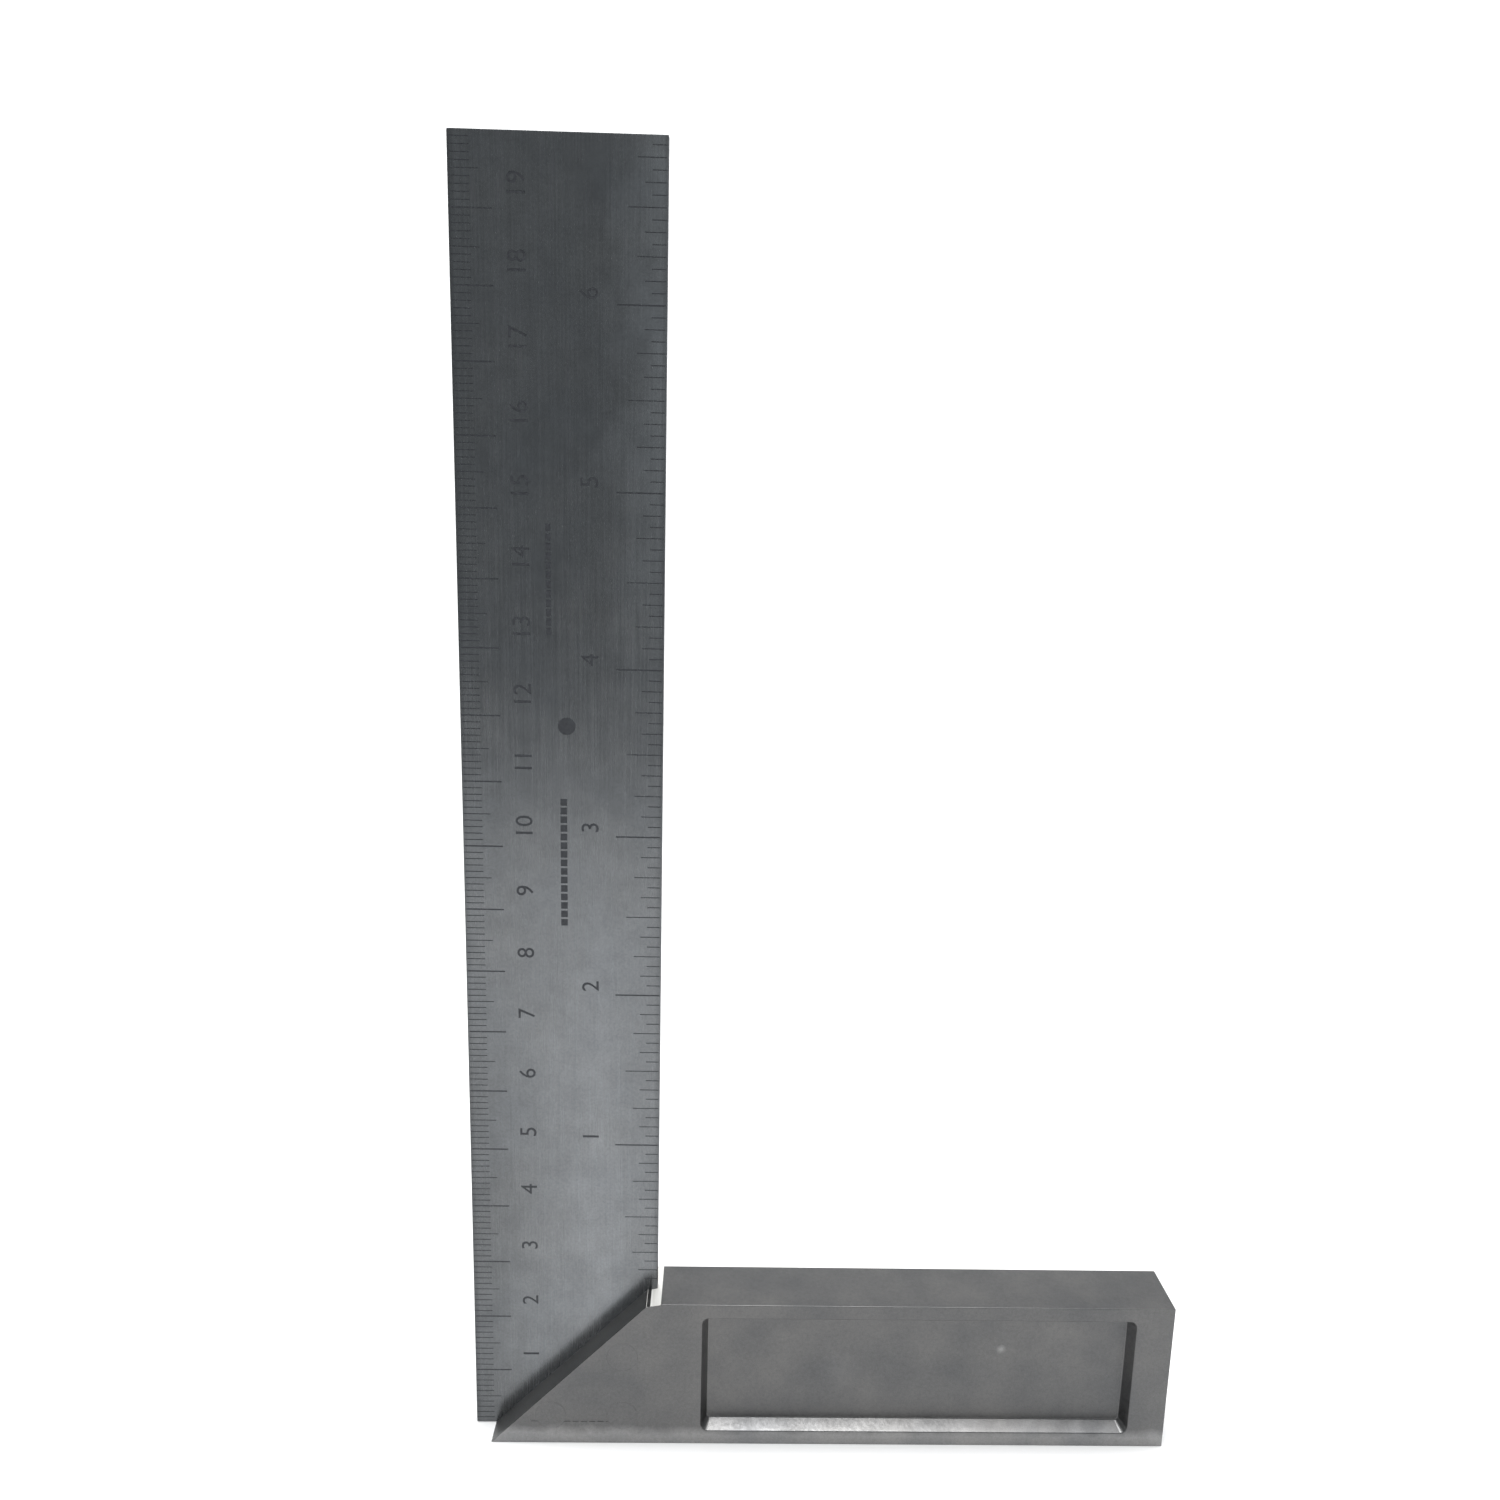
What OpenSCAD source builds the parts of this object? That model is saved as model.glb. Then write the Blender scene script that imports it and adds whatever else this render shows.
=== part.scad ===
// Try and mitre square: a graduated steel blade held in the slot of a cast
// alloy stock by three flush rivets. It stands on the outer face of its stock.
// X runs along the stock, Z up the blade and Y through the thickness, with the
// graduated face towards -Y. The origin is the middle of the face it stands on.

/* [Blade] */
// Length of the blade from the outer face of the stock
blade_len = 200; // [120:1:300]
// Width of the blade
blade_w = 30; // [28:0.5:36]
// Thickness of the blade
blade_t = 1.2; // [0.8:0.1:2]

/* [Stock] */
// Distance from the blade's outer edge to the far end of the stock
stock_reach = 114; // [90:1:160]
// Width of the stock between its outer and inner faces
stock_w = 25.6; // [25.2:0.2:30]
// Thickness of the stock
stock_t = 10; // [8:0.5:14]
// Distance that the stock's heel is set back from the blade's outer edge
heel_inset = 3.2; // [2.4:0.2:4]
// Width of the small flat where the mitre meets the inner face
land_w = 1.8; // [1.4:0.1:2.4]
// Fall of that flat below the inner face
land_drop = 0.45; // [0.2:0.05:0.8]

/* [Recess] */
// Distance from the blade's outer edge to the start of the recess
recess_start = 37.4; // [36:0.2:50]
// Border left between the recess and the far end of the stock
recess_end_border = 6; // [3:0.5:12]
// Border left above and below the recess
recess_side_border = 2.4; // [2:0.1:6]
// Depth of the recess in each face
recess_depth = 2; // [0.6:0.1:2.4]
// Run of the sloping recess walls, from the face to the recess's floor
recess_slope = 1; // [0.4:0.1:2.4]

/* [Rivets] */
// Radius of a rivet's shank
rivet_r = 1.7; // [1.2:0.1:2]
// Radius of a rivet's countersunk head
rivet_head_r = 2.5; // [2.2:0.1:2.8]
// Depth of a countersunk head
rivet_head_h = 1; // [0.5:0.1:1.5]

/* [Graduations] */
// Depth of the graduation lines
mark_depth = 0.08; // [0.03:0.01:0.2]
// Width of the short graduation lines
mark_w = 0.16; // [0.1:0.02:0.3]
// Width of the centimetre and inch lines
main_mark_w = 0.24; // [0.15:0.01:0.4]

/* [Hidden] */

inch = 25.4;
eps = 0.5;

recess_len = stock_reach - recess_end_border - recess_start;
recess_w = stock_w - 2 * recess_side_border;

// The small flat's inner end is just past the blade's inner edge
land_past_blade = 0.8;
land_x1 = blade_w + land_past_blade;
land_x0 = land_x1 - land_w;
land_z0 = stock_w - land_drop;

// Rivet centres as [x, z], well inside the cheeks and the blade's tang
rivet_low_z = 5.2;
rivet_high_z = 16;
rivet_from_mitre = 4.6;
rivet_from_blade_edge = 5.4;
rivet_heel_at = [heel_inset + rivet_low_z + rivet_from_mitre, rivet_low_z];
rivet_toe_at = [blade_w - rivet_from_blade_edge, rivet_low_z];
rivet_throat_at = [blade_w - rivet_from_blade_edge, rivet_high_z];
rivets_at = [rivet_heel_at, rivet_toe_at, rivet_throat_at];

// Metric lines: a line every millimetre, longer each 5 and 10
mm_len = 3;
half_cm_len = 4.2;
cm_len = 6;
// Plain length left between the last inch line and the blade's tip
tip_margin = 1;
function metric_len(k) = k % 10 == 0 ? cm_len : k % 5 == 0 ? half_cm_len : mm_len;
function metric_w(k) = k % 10 == 0 ? main_mark_w : mark_w;

// Inch lines: a line every sixteenth, with lengths for an inch, a half, a quarter,
// an eighth and a sixteenth
inch_lens = [7, 5.4, 4.2, 3.2, 2.2];
function inch_rank(k) = k % 16 == 0 ? 0 : k % 8 == 0 ? 1 : k % 4 == 0 ? 2 : k % 2 == 0 ? 3 : 4;
function inch_len(k) = inch_lens[inch_rank(k)];
function inch_w(k) = k % 16 == 0 ? main_mark_w : mark_w;

// Stands a flat XZ outline up, centred on Y = 0
module upright(thickness) {
    translate([0, thickness / 2, 0]) rotate([90, 0, 0]) linear_extrude(thickness) children();
}

// Moves the model from the heel corner, where its sizes start, to the base's middle
module placed() {
    translate([-stock_reach / 2, 0, 0]) children();
}

module metric_lines() {
    for (k = [1 : blade_len - 1])
        translate([-eps, k - metric_w(k) / 2]) square([metric_len(k) + eps, metric_w(k)]);
}

module inch_lines() {
    step = inch / 16;
    for (k = [1 : floor((blade_len - stock_w - tip_margin) / step)])
        translate([blade_w - inch_len(k), stock_w + k * step - inch_w(k) / 2])
            square([inch_len(k) + eps, inch_w(k)]);
}

// Grooves cut into the blade's front face
module graduations() {
    translate([0, mark_depth - blade_t / 2, 0]) rotate([90, 0, 0]) linear_extrude(mark_depth + eps) {
        metric_lines();
        inch_lines();
    }
}

// Straight hole through the thickness, for a rivet's shank
module shank_hole(at) {
    translate([at[0], 0, at[1]]) rotate([90, 0, 0])
        cylinder(r = rivet_r, h = stock_t + 2 * eps, center = true, $fn = 48);
}

// The rivet: a shank with a countersunk head set flush into each cheek
module rivet(at) {
    translate([at[0], 0, at[1]]) rotate([90, 0, 0]) {
        cylinder(r = rivet_r, h = stock_t, center = true, $fn = 48);
        for (side = [0, 1])
            mirror([0, 0, side]) translate([0, 0, stock_t / 2 - rivet_head_h])
                cylinder(r1 = rivet_r, r2 = rivet_head_r, h = rivet_head_h, $fn = 48);
    }
}

// Side outline of the stock: the heel end is mitred at 45 degrees
module stock_outline() {
    polygon([
        [heel_inset, 0],
        [stock_reach, 0],
        [stock_reach, stock_w],
        [land_x1, stock_w],
        [land_x0, land_z0],
        [land_z0 + heel_inset, land_z0],
    ]);
}

// Shallow tray with sloping walls, sunk from y = 0 towards +Y
module recess() {
    translate([recess_start, 0, recess_side_border]) intersection() {
        rotate([90, 0, 90]) linear_extrude(recess_len)
            polygon(slope_outline(recess_w));
        translate([0, 0, recess_w]) rotate([0, 90, 0]) rotate([90, 0, 90]) linear_extrude(recess_w)
            polygon(slope_outline(recess_len));
    }
}

// Cross-section of the tray, as [depth, place across its width]
function slope_outline(width) = [
    [-eps, 0],
    [0, 0],
    [recess_depth, recess_slope],
    [recess_depth, width - recess_slope],
    [0, width],
    [-eps, width],
];

module blade() {
    color("dimgray") placed() difference() {
        upright(blade_t) square([blade_w, blade_len]);
        graduations();
        for (at = rivets_at) shank_hole(at);
    }
}

module stock() {
    color("gray") placed() difference() {
        upright(stock_t) stock_outline();
        translate([-eps, -blade_t / 2, -eps]) cube([blade_w + eps, blade_t, stock_w + 2 * eps]);
        for (side = [0, 1]) mirror([0, side, 0]) translate([0, -stock_t / 2, 0]) recess();
        for (at = rivets_at) rivet(at);
    }
}

module set_rivet(at) {
    color("darkgray") placed() rivet(at);
}

blade();
stock();
set_rivet(rivet_heel_at);  // rivet_heel
set_rivet(rivet_toe_at);  // rivet_toe
set_rivet(rivet_throat_at);  // rivet_throat
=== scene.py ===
"""Looks of a try and mitre square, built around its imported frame.

A ground steel blade with etched graduations stands in the slot of a cast alloy
stock, held by three flush rivets. Lengths are in metres, written as millimetres
times MM. X runs along the stock, Z up the blade, and the graduated face looks
towards -Y.
"""

import math

import bmesh
import bpy
from mathutils import Matrix, Vector


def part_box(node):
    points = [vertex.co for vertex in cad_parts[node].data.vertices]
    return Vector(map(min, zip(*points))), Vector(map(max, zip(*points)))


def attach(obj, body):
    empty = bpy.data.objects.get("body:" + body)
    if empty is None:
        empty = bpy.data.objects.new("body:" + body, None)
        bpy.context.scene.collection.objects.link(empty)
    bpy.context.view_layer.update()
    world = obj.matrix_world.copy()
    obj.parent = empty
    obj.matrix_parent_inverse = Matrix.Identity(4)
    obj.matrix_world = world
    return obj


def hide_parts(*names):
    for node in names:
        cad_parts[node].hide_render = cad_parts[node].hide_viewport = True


MM = 0.001
INCH = 25.4 * MM
CLEAR = 0.5 * MM  # how far a cutter reaches past the face that it opens

# Blade: its chamfers, and its graduations' depth, widths and lengths by step
BLADE_CHAMFER = 0.28 * MM
MARK_DEPTH = 0.08 * MM
INK_BELOW_FACE = 0.015 * MM
MARK_W, MAIN_MARK_W = 0.14 * MM, 0.22 * MM
METRIC_LENS = {1: 3 * MM, 5: 4.2 * MM, 10: 6 * MM}
INCH_LENS = {1: 2.2 * MM, 2: 3.2 * MM, 4: 4.2 * MM, 8: 5.4 * MM, 16: 7 * MM}
TIP_MARGIN = 1 * MM  # plain length left between the last inch line and the tip

# Figures: their height, where a row's middle lies across the blade, and how far a
# figure stands above its line
FIGURE_H = 2.6 * MM
CAP_SHARE = 0.7  # of a letter's size, taken by the height of its figures
METRIC_FIGURE_X, METRIC_FIGURE_RISE = 9.2 * MM, 3.1 * MM
INCH_FIGURE_X, INCH_FIGURE_RISE = 19.1 * MM, 1.4 * MM
FIGURE_TIP_GAP = 5 * MM  # a line closer to the tip than this has no figure

# Plain etched dashes and a dot, in place of lettering. A row of dashes is its
# middle's x, its lowest z, its width and its count
DASH_ROWS = [
    (15.2 * MM, 87.6 * MM, 1.0 * MM, 15),
    (13.2 * MM, 132.1 * MM, 0.7 * MM, 12),
]
DASH_LEN, DASH_PITCH = 1.05 * MM, 1.35 * MM
PLAIN_DOT = (15.7 * MM, 118.6 * MM, 1.3 * MM)  # x, z and radius

# Colours, each as the darkest and the lightest
STEEL = ((0.200, 0.209, 0.219, 1), (0.217, 0.223, 0.229, 1))
EDGE_STEEL = ((0.085, 0.088, 0.1, 1), (0.13, 0.13, 0.14, 1))
# near-white of the small flat at the blade: a painted highlight
LAND_HIGHLIGHT_WHITE = ((0.84, 0.83, 0.79, 1), (0.92, 0.91, 0.88, 1))
ETCH_FILL = ((0.028, 0.030, 0.036, 1), (0.056, 0.060, 0.068, 1))

# Painted reflection and shade, in millimetres: how much lighter the steel is painted, and
# where that is full and where it ends, across the blade from its outer edge and up it
PAINTED_REFLECTION = [
    (-0.42, (0, 20), (45, 115)),
    (-0.2, (31, 21), (60, 115)),
    (0.8, (31, 21), (165, 110)),
]
PAINTED_REFLECTION_WOBBLE = 2.5
RIM_SHADE, RIM_W = 0.72, 0.9  # the darker rims along the blade's long edges

# Stock: its rounded edges, the stamped dashes near its heel and its small flat
STOCK_ROUND = 0.12 * MM
HEEL_DASHES, HEEL_DASH_X, HEEL_DASH_Z, HEEL_DASH_PITCH = 11, 9.8 * MM, 4 * MM, 1.35 * MM
HEEL_DASH_LEN, HEEL_DASH_H, HEEL_DASH_DEPTH = 1 * MM, 0.75 * MM, 0.06 * MM
LAND_W, LAND_DROP, LAND_PAST_BLADE = 1.8 * MM, 0.45 * MM, 0.8 * MM

# Recess: its borders, depth, wall runs and roundings
RECESS_START, RECESS_END_BORDER, RECESS_SIDE_BORDER = 37.4 * MM, 6 * MM, 2.4 * MM
RECESS_DEPTH, RECESS_SLOPE = 2 * MM, 1 * MM
RECESS_LIP_R, RECESS_FLOOR_R, RECESS_CORNER_R = 0.25 * MM, 0.25 * MM, 1.2 * MM

# Finishes of alloy: darkest and lightest colour, roughness, depth of skin, and whether it gets the
# scuffs and the painted highlight low on the stock
CAST = ((0.122, 0.123, 0.125, 1), (0.157, 0.155, 0.153, 1), 0.40, 0.010 * MM, True)
# the mitre face's lighter copy of the cast finish: painted light lifting the shade on that face
MITRE_PAINTED_LIFT = ((0.215, 0.215, 0.217, 1), (0.25, 0.25, 0.248, 1), 0.42, 0.006 * MM, False)
DRESSED = ((0.122, 0.122, 0.124, 1), (0.150, 0.149, 0.148, 1), 0.39, 0.008 * MM, True)

# Height up to which the stock is painted brighter, a painted highlight over the recess's lower wall
# and the border below it, and how much brighter it is
HIGHLIGHT_LOW_Z, HIGHLIGHT_LOW_GAIN = 3.4 * MM, 1.9

# Scuffs on the front recess's floor: place, radius and how much brighter they are
SCUFFS = [
    ((29.6 * MM, -3 * MM, 16.5 * MM), 0.9 * MM, 0.9),
    ((3 * MM, -3 * MM, 12.5 * MM), 4 * MM, 0.12),
]

# Rivets: shank, countersunk head and the hairline gap around it
RIVET_R, RIVET_HEAD_R, RIVET_HEAD_H = 1.7 * MM, 2.5 * MM, 1 * MM
RIVET_GAP = 0.02 * MM
RIVET_ROUND = 0.12 * MM


# ---------------------------------------------------------------- mesh tools


def new_object(name, mesh):
    made = bpy.data.objects.new(name, mesh)
    bpy.context.scene.collection.objects.link(made)
    return made


def object_from(name, bm):
    """An object from a bmesh, which is freed, with its faces looking outwards."""
    bmesh.ops.recalc_face_normals(bm, faces=bm.faces)
    mesh = bpy.data.meshes.new(name)
    bm.to_mesh(mesh)
    bm.free()
    return new_object(name, mesh)


def add_prism(bm, outline, y0, y1):
    """Adds a closed solid: an outline of (x, z) points, from y0 to y1."""
    front = [bm.verts.new((x, y0, z)) for x, z in outline]
    back = [bm.verts.new((x, y1, z)) for x, z in outline]
    bm.faces.new(front)
    bm.faces.new(back[::-1])
    for i in range(len(outline)):
        j = (i + 1) % len(outline)
        bm.faces.new((front[i], back[i], back[j], front[j]))


def rectangle(x0, x1, z0, z1):
    return [(x0, z0), (x1, z0), (x1, z1), (x0, z1)]


def circle(x, z, radius, steps=48):
    turn = 2 * math.pi / steps
    return [(x + radius * math.cos(i * turn), z + radius * math.sin(i * turn)) for i in range(steps)]


def add_loft(bm, rings):
    """Adds a closed solid through rings of points, each with the same count."""
    loops = [[bm.verts.new(p) for p in ring] for ring in rings]
    for a, b in zip(loops, loops[1:]):
        for i in range(len(a)):
            j = (i + 1) % len(a)
            bm.faces.new((a[i], a[j], b[j], b[i]))
    bm.faces.new(loops[0][::-1])
    bm.faces.new(loops[-1])


def bake(obj):
    """Makes the mesh what the modifiers show, and removes them."""
    graph = bpy.context.evaluated_depsgraph_get()
    mesh = bpy.data.meshes.new_from_object(obj.evaluated_get(graph))
    obj.modifiers.clear()
    obj.data = mesh


def subtract(obj, cutter):
    """Cuts one object out of another, and removes the cutter."""
    cut = obj.modifiers.new("cut", "BOOLEAN")
    cut.operation = "DIFFERENCE"
    cut.solver = "EXACT"
    cut.object = cutter
    bake(obj)
    bpy.data.objects.remove(cutter)


def smooth(obj, angle=35):
    """Shades rounded edges smoothly and keeps large flat faces flat."""
    obj.data.shade_smooth()
    obj.data.set_sharp_from_angle(angle=math.radians(angle))
    weights = obj.modifiers.new("weights", "WEIGHTED_NORMAL")
    weights.keep_sharp = True
    weights.weight = 100


# ---------------------------------------------------------------- node tools


def feed(tree, socket, value):
    """Gives an input its value, or links it to the socket that feeds it."""
    if isinstance(value, bpy.types.NodeSocket):
        tree.links.new(value, socket)
    else:
        socket.default_value = value


def node(tree, kind, **inputs):
    """A shader node. An input is a value, or the socket that feeds it."""
    made = tree.nodes.new(kind)
    for name, value in inputs.items():
        feed(tree, made.inputs[name.replace("_", " ")], value)
    return made


def millimetres(tree, stretch=(1, 1, 1)):
    """Object coordinates in millimetres, times a stretch for each axis."""
    place = node(tree, "ShaderNodeTexCoord").outputs["Object"]
    scale = [s / MM for s in stretch]
    return node(tree, "ShaderNodeMapping", Vector=place, Scale=scale).outputs["Vector"]


def noise(tree, size, detail=2, stretch=(1, 1, 1), roughness=0.5):
    """A noise from 0 to 1 whose features are about size millimetres."""
    made = node(
        tree,
        "ShaderNodeTexNoise",
        Vector=millimetres(tree, stretch),
        Scale=1 / size,
        Detail=detail,
        Roughness=roughness,
    )
    return made.outputs["Fac"]


def ranged(tree, value, low, high, start=0.3, end=0.7):
    """A value from start to end, taken to low to high."""
    made = node(
        tree,
        "ShaderNodeMapRange",
        Value=value,
        From_Min=start,
        From_Max=end,
        To_Min=low,
        To_Max=high,
    )
    return made.outputs["Result"]


def maths(tree, operation, a, b):
    """The result of a sum on two values, each a number or a socket."""
    made = tree.nodes.new("ShaderNodeMath")
    made.operation = operation
    feed(tree, made.inputs[0], a)
    feed(tree, made.inputs[1], b)
    return made.outputs["Value"]


def blended(tree, share, a, b, how="MIX"):
    """Two colours mixed by a share; each is a colour or a socket.

    A Mix node's colour mode uses its inputs 0, 6 and 7 and its output 2.
    """
    made = tree.nodes.new("ShaderNodeMix")
    made.data_type = "RGBA"
    made.blend_type = how
    for index, value in ((0, share), (6, a), (7, b)):
        feed(tree, made.inputs[index], value)
    return made.outputs[2]


def grey(level):
    return (level, level, level, 1)


def metal(name, metallic=1.0):
    """A material with its tree and its Principled shader."""
    made = bpy.data.materials.new(name)
    made.use_nodes = True
    tree = made.node_tree
    shader = tree.nodes["Principled BSDF"]
    shader.inputs["Metallic"].default_value = metallic
    return made, tree, shader


def wire(tree, shader, colour, roughness, height=None, depth=0.0):
    """Feeds a shader its colour, roughness and, in metres, its bump."""
    tree.links.new(colour, shader.inputs["Base Color"])
    tree.links.new(roughness, shader.inputs["Roughness"])
    if height is not None:
        bump = node(tree, "ShaderNodeBump", Height=height, Distance=depth, Strength=1.0)
        tree.links.new(bump.outputs["Normal"], shader.inputs["Normal"])


# ----------------------------------------------------------------- materials


def patina(tree, low_x, high_x):
    """How light the steel is painted across and up the blade, a painted reflection and shade, with
    darker rims along its edges.
    """
    place = node(tree, "ShaderNodeSeparateXYZ", Vector=millimetres(tree)).outputs
    from_edge = maths(tree, "SUBTRACT", place["X"], low_x / MM)
    wobble = ranged(tree, noise(tree, 9, detail=3), -PAINTED_REFLECTION_WOBBLE, PAINTED_REFLECTION_WOBBLE)
    across = maths(tree, "ADD", from_edge, wobble)
    shade = 1
    for change, across_ends, up_ends in PAINTED_REFLECTION:
        sideways = ranged(tree, across, change, 0, *across_ends)
        upwards = ranged(tree, place["Z"], 1, 0, *up_ends)
        shade = maths(tree, "ADD", shade, maths(tree, "MULTIPLY", sideways, upwards))
    width = (high_x - low_x) / MM
    for start, end in ((0, RIM_W), (width, width - RIM_W)):
        rim = ranged(tree, from_edge, RIM_SHADE, 1, start, end)
        shade = maths(tree, "MULTIPLY", shade, rim)
    return shade


def blade_material(low_x, high_x):
    """Dark ground steel: lengthways grinding lines, soft blotches and a painted reflection and shade.
    """
    made, tree, shader = metal("ground_steel")
    blotch = noise(tree, 14, detail=3)
    cloud = noise(tree, 3.2, detail=2)
    grain = noise(tree, 0.35, detail=2)
    lines = noise(tree, 0.22, detail=3, stretch=(1, 1, 0.012), roughness=0.65)
    base = blended(tree, ranged(tree, blotch, 0, 1), *STEEL)
    base = blended(tree, 0.35, base, ranged(tree, cloud, 0.80, 1.15), "MULTIPLY")
    base = blended(tree, 0.35, base, ranged(tree, grain, 0.75, 1.2), "MULTIPLY")
    base = blended(tree, 0.30, base, ranged(tree, lines, 0.75, 1.2), "MULTIPLY")
    # painted reflection and shade: darker along both edges low down, lighter along the inner edge high
    # up
    base = blended(tree, 1.0, base, patina(tree, low_x, high_x), "MULTIPLY")
    rough = maths(tree, "ADD", ranged(tree, lines, -0.03, 0.04), ranged(tree, blotch, 0.235, 0.265))
    wire(tree, shader, base, rough, lines, 0.0007 * MM)
    return made


def blade_edge_material():
    """The chamfers and narrow edges of the blade, darker and rougher than its faces."""
    made, tree, shader = metal("blade_edge_steel")
    cloud = noise(tree, 1.2, detail=3)
    base = blended(tree, ranged(tree, cloud, 0, 1), *EDGE_STEEL)
    wire(tree, shader, base, ranged(tree, cloud, 0.38, 0.5), cloud, 0.004 * MM)
    return made


def worn_base(tree):
    """How much brighter the stock is painted low on its sides: a painted highlight on the recess's
    lower wall and the border below it.
    """
    place = node(tree, "ShaderNodeSeparateXYZ", Vector=millimetres(tree)).outputs
    wobble = ranged(tree, noise(tree, 3, detail=3), -0.4, 0.4)
    height = maths(tree, "ADD", place["Z"], wobble)
    return ranged(tree, height, HIGHLIGHT_LOW_GAIN, 1, 0.5 * HIGHLIGHT_LOW_Z / MM, HIGHLIGHT_LOW_Z / MM)


def scuff(tree, place, radius, gain):
    """How much brighter the stock is around a scuff."""
    where = node(tree, "ShaderNodeTexCoord").outputs["Object"]
    apart = tree.nodes.new("ShaderNodeVectorMath")
    apart.operation = "DISTANCE"
    feed(tree, apart.inputs[0], where)
    feed(tree, apart.inputs[1], place)
    return ranged(tree, apart.outputs["Value"], 1 + gain, 1, 0, radius)


def stock_material(name, low, high, rough, depth, worn):
    """Satin cast alloy: a fine pebbled skin with faint stains, and, if it is asked for, real scuffs
    and a painted highlight low on the stock.
    """
    made, tree, shader = metal(name)
    stain = noise(tree, 9, detail=3)
    pebble = noise(tree, 0.55, detail=3, roughness=0.6)
    grain = noise(tree, 0.16, detail=2)
    base = blended(tree, ranged(tree, stain, 0, 1), low, high)
    base = blended(tree, 0.5, base, ranged(tree, pebble, 0.78, 1.18), "MULTIPLY")
    base = blended(tree, 0.35, base, ranged(tree, grain, 0.75, 1.2), "MULTIPLY")
    # the painted highlight low on the stock, then the real scuffs
    wear = [worn_base(tree)] + [scuff(tree, *each) for each in SCUFFS] if worn else []
    for layer in wear:
        base = blended(tree, 1.0, base, layer, "MULTIPLY")
    roughness = ranged(tree, pebble, rough - 0.05, rough + 0.07)
    skin = maths(tree, "ADD", pebble, maths(tree, "MULTIPLY", grain, 0.35))
    wire(tree, shader, base, roughness, skin, depth)
    return made


def land_material():
    """Near-white metal with fine cut lines on the small flat at the blade; its near-white colour is a
    painted highlight.
    """
    made, tree, shader = metal("small_flat_painted_highlight", metallic=0.35)
    cuts = noise(tree, 0.3, detail=2, stretch=(1, 0.06, 1))
    base = blended(tree, ranged(tree, cuts, 0, 1), *LAND_HIGHLIGHT_WHITE)
    wire(tree, shader, base, ranged(tree, cuts, 0.36, 0.48), cuts, 0.002 * MM)
    return made


def ink_material():
    """Matt black-blue fill of the etched marks, slightly worn."""
    made, tree, shader = metal("etch_fill", metallic=0.0)
    wear = noise(tree, 0.5, detail=3)
    base = blended(tree, ranged(tree, wear, 0, 1), *ETCH_FILL)
    wire(tree, shader, base, ranged(tree, wear, 0.5, 0.75), wear, 0.003 * MM)
    return made


# -------------------------------------------------------------------- pieces


def metric_marks(blade_low, blade_high):
    """Outlines of the millimetre lines on the blade's outer edge."""
    edge, base = blade_low.x, blade_low.z
    outlines = []
    for k in range(1, round((blade_high.z - base) / MM)):
        step = max(s for s in METRIC_LENS if k % s == 0)
        half = (MAIN_MARK_W if step == 10 else MARK_W) / 2
        z = base + k * MM
        outlines.append(rectangle(edge - CLEAR, edge + METRIC_LENS[step], z - half, z + half))
    return outlines


def inch_marks(blade_high, stock_top):
    """Outlines of the sixteenth-inch lines on the blade's inner edge."""
    edge = blade_high.x
    count = int((blade_high.z - stock_top - TIP_MARGIN) / (INCH / 16))
    outlines = []
    for k in range(1, count + 1):
        step = max(s for s in INCH_LENS if k % s == 0)
        half = (MAIN_MARK_W if step == 16 else MARK_W) / 2
        z = stock_top + k * INCH / 16
        outlines.append(rectangle(edge - INCH_LENS[step], edge + CLEAR, z - half, z + half))
    return outlines


def figures(blade_low, blade_high, stock_top):
    """(text, x, z) of every figure: centimetres, then inches from the stock."""
    row = METRIC_FIGURE_X + blade_low.x
    last = int((blade_high.z - blade_low.z - FIGURE_TIP_GAP) / (10 * MM))
    found = [(str(k), row, blade_low.z + 10 * k * MM + METRIC_FIGURE_RISE) for k in range(1, last + 1)]
    row = INCH_FIGURE_X + blade_low.x
    last = int((blade_high.z - stock_top - FIGURE_TIP_GAP) / INCH)
    found += [(str(k), row, stock_top + k * INCH + INCH_FIGURE_RISE) for k in range(1, last + 1)]
    return found


def add_figure(bm, text, x, z, y0, y1):
    """Adds a solid figure from y0 to y1, with its top towards the outer edge."""
    curve = bpy.data.curves.new("figure", "FONT")
    curve.body = text
    curve.size = FIGURE_H / CAP_SHARE
    curve.align_x = "CENTER"
    curve.resolution_u = 3
    curve.extrude = (y1 - y0) / 2
    shape = new_object("figure", curve)
    graph = bpy.context.evaluated_depsgraph_get()
    mesh = bpy.data.meshes.new_from_object(shape.evaluated_get(graph))
    turn = Matrix(((0, -1, 0), (0, 0, -1), (1, 0, 0))).to_4x4()
    place = Vector((x + FIGURE_H / 2, (y0 + y1) / 2, z))
    mesh.transform(Matrix.Translation(place) @ turn)
    bm.from_mesh(mesh)
    bpy.data.objects.remove(shape)
    bpy.data.curves.remove(curve)
    bpy.data.meshes.remove(mesh)


def marks_object(name, outlines, figure_list, y0, y1):
    bm = bmesh.new()
    for outline in outlines:
        add_prism(bm, outline, y0, y1)
    for text, x, z in figure_list:
        add_figure(bm, text, x, z, y0, y1)
    bmesh.ops.remove_doubles(bm, verts=bm.verts, dist=MM * 1e-4)
    return object_from(name, bm)


def clipped(outline, x0, x1):
    return [(min(max(x, x0), x1), z) for x, z in outline]


def bevelled_box(name, low, high, chamfer):
    bm = bmesh.new()
    add_prism(bm, rectangle(low.x, high.x, low.z, high.z), low.y, high.y)
    bmesh.ops.bevel(bm, geom=bm.edges[:], offset=chamfer, segments=2, profile=0.6, affect="EDGES")
    return object_from(name, bm)


def paint_edges(obj, face_axis, index):
    """Gives the faces that don't look along an axis another material."""
    for polygon in obj.data.polygons:
        if abs(polygon.normal[face_axis]) < 0.95:
            polygon.material_index = index


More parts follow.
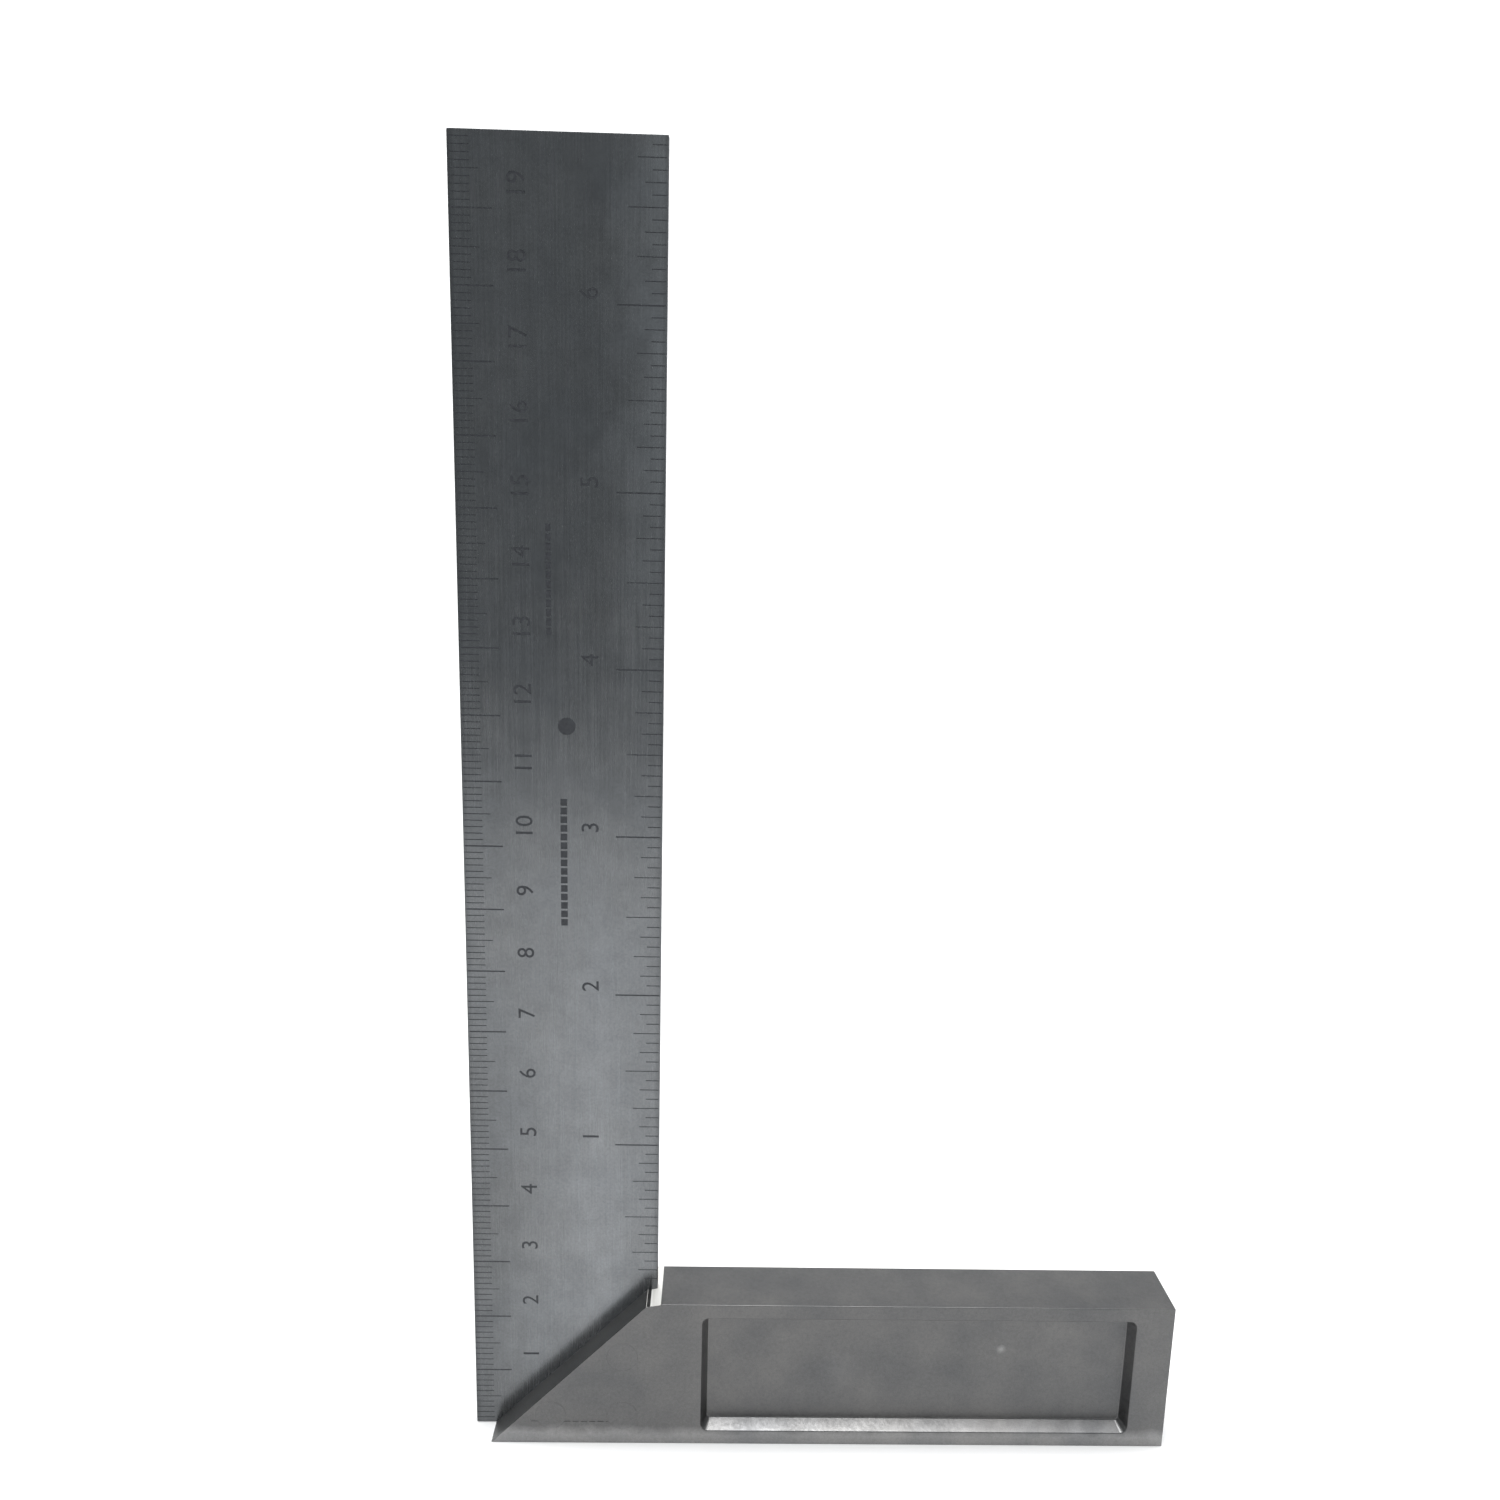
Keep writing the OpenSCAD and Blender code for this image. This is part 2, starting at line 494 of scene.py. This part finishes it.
def build_blade(rivets):
    low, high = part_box("blade")
    stock_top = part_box("stock")[1].z
    outlines = metric_marks(low, high) + inch_marks(high, stock_top)
    for x, z, width, count in DASH_ROWS:
        x0 = low.x + x - width / 2
        for k in range(count):
            start = z + k * DASH_PITCH
            outlines.append(rectangle(x0, x0 + width, start, start + DASH_LEN))
    outlines.append(circle(low.x + PLAIN_DOT[0], PLAIN_DOT[1], PLAIN_DOT[2], 24))
    numbers = figures(low, high, stock_top)
    blade = bevelled_box("blade_plate", low, high, BLADE_CHAMFER)
    paint_edges(blade, 1, 1)
    floor = low.y + MARK_DEPTH
    subtract(blade, marks_object("etching", outlines, numbers, low.y - CLEAR, floor))
    bm = bmesh.new()
    for x, z in rivets:
        add_prism(bm, circle(x, z, RIVET_R), low.y - CLEAR, high.y + CLEAR)
    subtract(blade, object_from("holes", bm))
    inset = BLADE_CHAMFER
    inked = [clipped(o, low.x + inset, high.x - inset) for o in outlines]
    ink = marks_object("scale_ink", inked, numbers, low.y + INK_BELOW_FACE, floor)
    return blade, ink


def stock_outline(low, high, blade_high):
    """The side outline of the stock, mitred at 45 degrees from its heel."""
    land_x1 = blade_high.x + LAND_PAST_BLADE
    land_z0 = high.z - LAND_DROP
    return [
        (low.x, low.z),
        (high.x, low.z),
        (high.x, high.z),
        (land_x1, high.z),
        (land_x1 - LAND_W, land_z0),
        (low.x + land_z0 - low.z, land_z0),
    ]


def rounded_rectangle(x0, x1, z0, z1, radius, steps=6):
    corners = ((x1, z1, 0), (x0, z1, 1), (x0, z0, 2), (x1, z0, 3))
    points = []
    for x, z, quarter in corners:
        inwards = (-1 if x == x1 else 1, -1 if z == z1 else 1)
        centre = (x + inwards[0] * radius, z + inwards[1] * radius)
        for i in range(steps + 1):
            angle = (quarter + i / steps) * math.pi / 2
            points.append((centre[0] + radius * math.cos(angle), centre[1] + radius * math.sin(angle)))
    return points


def wall_profile(run, depth, lip_r, floor_r, steps=5):
    """(inset, depth) down a sloping wall, rounded at its lip and its floor."""
    lean = math.atan2(depth, run)
    reach = math.tan(lean / 2)
    points = []
    for i in range(steps + 1):
        angle = lean * i / steps
        inset = lip_r * (math.sin(angle) - reach)
        points.append((inset, lip_r * (1 - math.cos(angle))))
    for i in range(steps + 1):
        angle = lean * (1 - i / steps)
        inset = run - floor_r * (math.sin(angle) - reach)
        points.append((inset, depth - floor_r * (1 - math.cos(angle))))
    return points


def add_recess(bm, low, high, start, side):
    """Adds a recess's cutter, sunk into the front (-1) or the back (1) face."""
    face = low.y if side < 0 else high.y
    x0, x1 = start, high.x - RECESS_END_BORDER
    z0, z1 = low.z + RECESS_SIDE_BORDER, high.z - RECESS_SIDE_BORDER
    profile = wall_profile(RECESS_SLOPE, RECESS_DEPTH, RECESS_LIP_R, RECESS_FLOOR_R)
    profile = [(profile[0][0], -CLEAR), *profile]
    rings = []
    for inset, depth in profile:
        corner = RECESS_CORNER_R - 0.5 * inset
        ring = rounded_rectangle(x0 + inset, x1 - inset, z0 + inset, z1 - inset, corner)
        rings.append([(x, face - side * depth, z) for x, z in ring])
    add_loft(bm, rings)


def add_turned(bm, x, z, profile, steps=48):
    """Adds a solid turned about Y at (x, z), through (radius, y) points."""
    rings = [[(p[0], y, p[1]) for p in circle(x, z, radius, steps)] for radius, y in profile]
    add_loft(bm, rings)


def rivet_profile(low_y, high_y, gap, past=0.0):
    """(radius, y) along a rivet with a countersunk head at each end."""
    neck, head = RIVET_R - gap, RIVET_HEAD_R - gap
    return [
        (head, low_y - past),
        (head, low_y),
        (neck, low_y + RIVET_HEAD_H),
        (neck, high_y - RIVET_HEAD_H),
        (head, high_y),
        (head, high_y + past),
    ]


def paint_facing(obj, direction, below_x, index):
    """Gives the faces that look one way, up to an x, another material."""
    direction = Vector(direction).normalized()
    for polygon in obj.data.polygons:
        if polygon.normal.dot(direction) > 0.995 and polygon.center.x < below_x:
            polygon.material_index = index


def heel_dashes(blade_low, low):
    """Outlines of a row of shallow stamped dashes near the heel."""
    z = low.z + HEEL_DASH_Z
    outlines = []
    for k in range(HEEL_DASHES):
        x = blade_low.x + HEEL_DASH_X + k * HEEL_DASH_PITCH
        outlines.append(rectangle(x, x + HEEL_DASH_LEN, z, z + HEEL_DASH_H))
    return outlines


def build_stock(rivets):
    low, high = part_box("stock")
    blade_low, blade_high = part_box("blade")
    bm = bmesh.new()
    add_prism(bm, stock_outline(low, high, blade_high), low.y, high.y)
    bmesh.ops.bevel(bm, geom=bm.edges[:], offset=STOCK_ROUND, segments=3, profile=0.5, affect="EDGES")
    stock = object_from("stock_body", bm)
    bm = bmesh.new()
    for side in (-1, 1):
        add_recess(bm, low, high, blade_low.x + RECESS_START, side)
    subtract(stock, object_from("recesses", bm))
    bm = bmesh.new()
    slot = rectangle(blade_low.x - CLEAR, blade_high.x, low.z - CLEAR, high.z + CLEAR)
    add_prism(bm, slot, blade_low.y, blade_high.y)
    subtract(stock, object_from("slot", bm))
    bm = bmesh.new()
    for x, z in rivets:
        add_turned(bm, x, z, rivet_profile(low.y, high.y, 0, CLEAR))
    subtract(stock, object_from("rivet_holes", bm))
    dashes = heel_dashes(blade_low, low)
    subtract(stock, marks_object("stamping", dashes, [], low.y - CLEAR, low.y + HEEL_DASH_DEPTH))
    # the small flat gets the near-white painted highlight
    paint_facing(stock, (-LAND_DROP, 0, LAND_W), blade_high.x + LAND_PAST_BLADE, 1)
    # the mitre face gets the lighter copy of the cast alloy, painted light on its shade
    paint_facing(stock, (-1, 0, 1), blade_high.x, 2)
    return stock


def build_rivet(name, x, z):
    low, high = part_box("stock")
    bm = bmesh.new()
    add_turned(bm, x, z, rivet_profile(low.y, high.y, RIVET_GAP)[1:-1])
    rims = [e for e in bm.edges if all(abs(abs(v.co.y) - high.y) < MM * 1e-3 for v in e.verts)]
    bmesh.ops.bevel(bm, geom=rims, offset=RIVET_ROUND, segments=2, profile=0.5, affect="EDGES")
    return object_from(name, bm)


def finish_piece(obj, slot, replaced, *materials):
    for material in materials:
        obj.data.materials.append(material)
    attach(obj, "root")
    if replaced:
        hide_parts(replaced)


def centre_of(node_name):
    low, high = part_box(node_name)
    return ((low.x + high.x) / 2, (low.z + high.z) / 2)


def build_square():
    names = ("rivet_heel", "rivet_toe", "rivet_throat")
    rivets = [centre_of(n) for n in names]
    blade, ink = build_blade(rivets)
    stock = build_stock(rivets)
    smooth(blade)
    smooth(stock)
    low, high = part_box("blade")
    finish_piece(blade, "blade_steel", "blade", blade_material(low.x, high.x), blade_edge_material())
    finish_piece(ink, "scale_marks", None, ink_material())
    cast = stock_material("cast_alloy", *CAST)
    mitre_painted_lift = stock_material("mitre_face_painted_light", *MITRE_PAINTED_LIFT)
    dressed = stock_material("rivet_alloy", *DRESSED)
    finish_piece(stock, "stock_alloy", "stock", cast, land_material(), mitre_painted_lift)
    for name, (x, z) in zip(names, rivets):
        rivet = build_rivet(name + "_pin", x, z)
        smooth(rivet)
        finish_piece(rivet, "rivet_alloy", name, dressed)


# --------------------------------------------------------------- studio


# The white sweep, in metres, its own glow, and the pale room around it
FLOOR_HALF_W = 1.3
FLOOR_FRONT, FLOOR_BACK, BACKDROP_TOP, COVE_R = -0.44, 0.9, 0.9, 0.35
PAPER_WHITE, PAPER_GLOW = 0.86, 0.1
ROOM_HALF_W, ROOM_DROP, ROOM_GLOW = 3, 0.002, 0.93
WORLD_COLOUR, WORLD_STRENGTH = (0.92, 0.97, 1.0, 1), 0.3

# Lights: name, place, target, width, height and power
LIGHTS = [
    ("softbox_top", (0, -0.1, 0.85), (0, -0.1, 0), 0.38, 0.38, 6),
    ("backdrop_wash", (0, 0.1, 0.9), (0, 0.9, 0.25), 2.4, 0.3, 13),
]

# Camera: where it stands, how it is turned, in degrees, and its lens and sensor
CAMERA_PLACE = (-18.17 * MM, -173.06 * MM, 150.05 * MM)
CAMERA_TURN = (78.70, -1.392, -1.084)
LENS_MM, SENSOR_MM = 28.324, 36


def sweep_profile(steps=12):
    """(y, z) along the floor and up the backdrop, through a round cove."""
    points = [(FLOOR_FRONT, 0.0)]
    for i in range(steps + 1):
        angle = math.pi / 2 * i / steps
        y = FLOOR_BACK - COVE_R + COVE_R * math.sin(angle)
        points.append((y, COVE_R - COVE_R * math.cos(angle)))
    points.append((FLOOR_BACK, BACKDROP_TOP))
    return points


def build_stage():
    bm = bmesh.new()
    left = [bm.verts.new((-FLOOR_HALF_W, y, z)) for y, z in sweep_profile()]
    right = [bm.verts.new((FLOOR_HALF_W, y, z)) for y, z in sweep_profile()]
    for i in range(len(left) - 1):
        bm.faces.new((left[i], right[i], right[i + 1], left[i + 1]))
    sweep = object_from("studio_sweep", bm)
    sweep.data.shade_smooth()
    paper = bpy.data.materials.new("white_paper")
    paper.use_nodes = True
    shader = paper.node_tree.nodes["Principled BSDF"]
    shader.inputs["Base Color"].default_value = grey(PAPER_WHITE)
    shader.inputs["Roughness"].default_value = 0.9
    shader.inputs["Emission Color"].default_value = grey(1)
    shader.inputs["Emission Strength"].default_value = PAPER_GLOW
    sweep.data.materials.append(paper)


def build_surround():
    """A pale room, seen only by the camera, behind whatever the paper doesn't cover."""
    bm = bmesh.new()
    middle = Matrix.Translation((0, 0, ROOM_HALF_W - ROOM_DROP))
    bmesh.ops.create_cube(bm, size=2 * ROOM_HALF_W, matrix=middle)
    bmesh.ops.reverse_faces(bm, faces=bm.faces)
    mesh = bpy.data.meshes.new("surround")
    bm.to_mesh(mesh)
    bm.free()
    surround = new_object("surround", mesh)
    for rays in ("diffuse", "glossy", "transmission", "volume_scatter", "shadow"):
        setattr(surround, "visible_" + rays, False)
    pale = bpy.data.materials.new("pale_room")
    pale.use_nodes = True
    shader = pale.node_tree.nodes["Principled BSDF"]
    shader.inputs["Base Color"].default_value = grey(0)
    shader.inputs["Emission Color"].default_value = grey(1)
    shader.inputs["Emission Strength"].default_value = ROOM_GLOW
    mesh.materials.append(pale)


def build_light(name, place, target, width, height, power):
    """A rectangular softbox that looks at a target."""
    lamp = bpy.data.lights.new(name, "AREA")
    lamp.shape = "RECTANGLE"
    lamp.size = width
    lamp.size_y = height
    lamp.energy = power
    made = new_object(name, lamp)
    made.location = place
    made.rotation_euler = (Vector(target) - Vector(place)).to_track_quat("-Z", "Y").to_euler()


def build_studio():
    scene = bpy.context.scene
    scene.view_settings.view_transform = "Standard"
    world = bpy.data.worlds.new("room")
    scene.world = world
    world.use_nodes = True
    background = world.node_tree.nodes["Background"]
    background.inputs["Color"].default_value = WORLD_COLOUR
    background.inputs["Strength"].default_value = WORLD_STRENGTH
    build_stage()
    build_surround()
    for light in LIGHTS:
        build_light(*light)


def build_camera():
    """Stands in front of the blade, a little above its middle, looking slightly down."""
    lens = bpy.data.cameras.new("camera")
    lens.sensor_width = SENSOR_MM
    lens.lens = LENS_MM
    lens.clip_start = 0.01
    camera = new_object("camera", lens)
    camera.location = CAMERA_PLACE
    camera.rotation_euler = [math.radians(angle) for angle in CAMERA_TURN]
    bpy.context.scene.camera = camera


def corners(box):
    return [list(corner) for corner in box]


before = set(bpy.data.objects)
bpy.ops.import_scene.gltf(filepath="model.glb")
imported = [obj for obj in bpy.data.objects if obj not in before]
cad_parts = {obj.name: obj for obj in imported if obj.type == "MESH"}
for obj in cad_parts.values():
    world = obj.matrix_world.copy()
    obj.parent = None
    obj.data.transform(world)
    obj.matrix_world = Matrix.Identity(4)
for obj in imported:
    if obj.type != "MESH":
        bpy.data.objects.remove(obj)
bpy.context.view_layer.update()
build_camera()
build_square()
build_studio()
